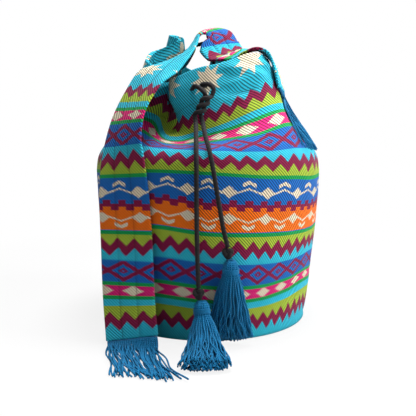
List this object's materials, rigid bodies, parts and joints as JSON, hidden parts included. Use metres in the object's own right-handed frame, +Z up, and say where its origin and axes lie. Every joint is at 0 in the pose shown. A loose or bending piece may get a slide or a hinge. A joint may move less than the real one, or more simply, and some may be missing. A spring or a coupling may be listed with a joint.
{
  "type": "woven bucket bag",
  "caption": "Soft bucket bag of banded woven cloth, mouth gathered on a braided drawcord with yarn tassels, and a fringed woven strap laid over the mouth.",
  "frame": {"origin": "middle of the underside of the base, on the surface the bag stands on", "axes": "+Z up through the mouth; -Y towards the front, where the cord is tied; +X to the right seen from the front"},
  "size_m": [0.272, 0.3675, 0.3509],
  "materials": {
    "woven_cloth": "matte banded weave: turquoise, lime, maroon, magenta, green, blue, orange and cream",
    "base_cloth": "matte plain dark cloth",
    "cord": "braided matte black cord",
    "yarn": "soft blue yarn"
  },
  "bodies": {
    "root": {"body_wall": "woven_cloth", "base_panel": "base_cloth", "strap": "woven_cloth", "strap_fringe_left": "yarn", "strap_fringe_right": "yarn", "drawcord_run": "cord", "drawcord_tail_left": "cord", "end_knot_left": "cord", "tassel_left": "yarn", "tassel_binding_left": "yarn", "drawcord_tail_right": "cord", "end_knot_right": "cord", "tassel_right": "yarn", "tassel_binding_right": "yarn"}
  },
  "joints": []
}
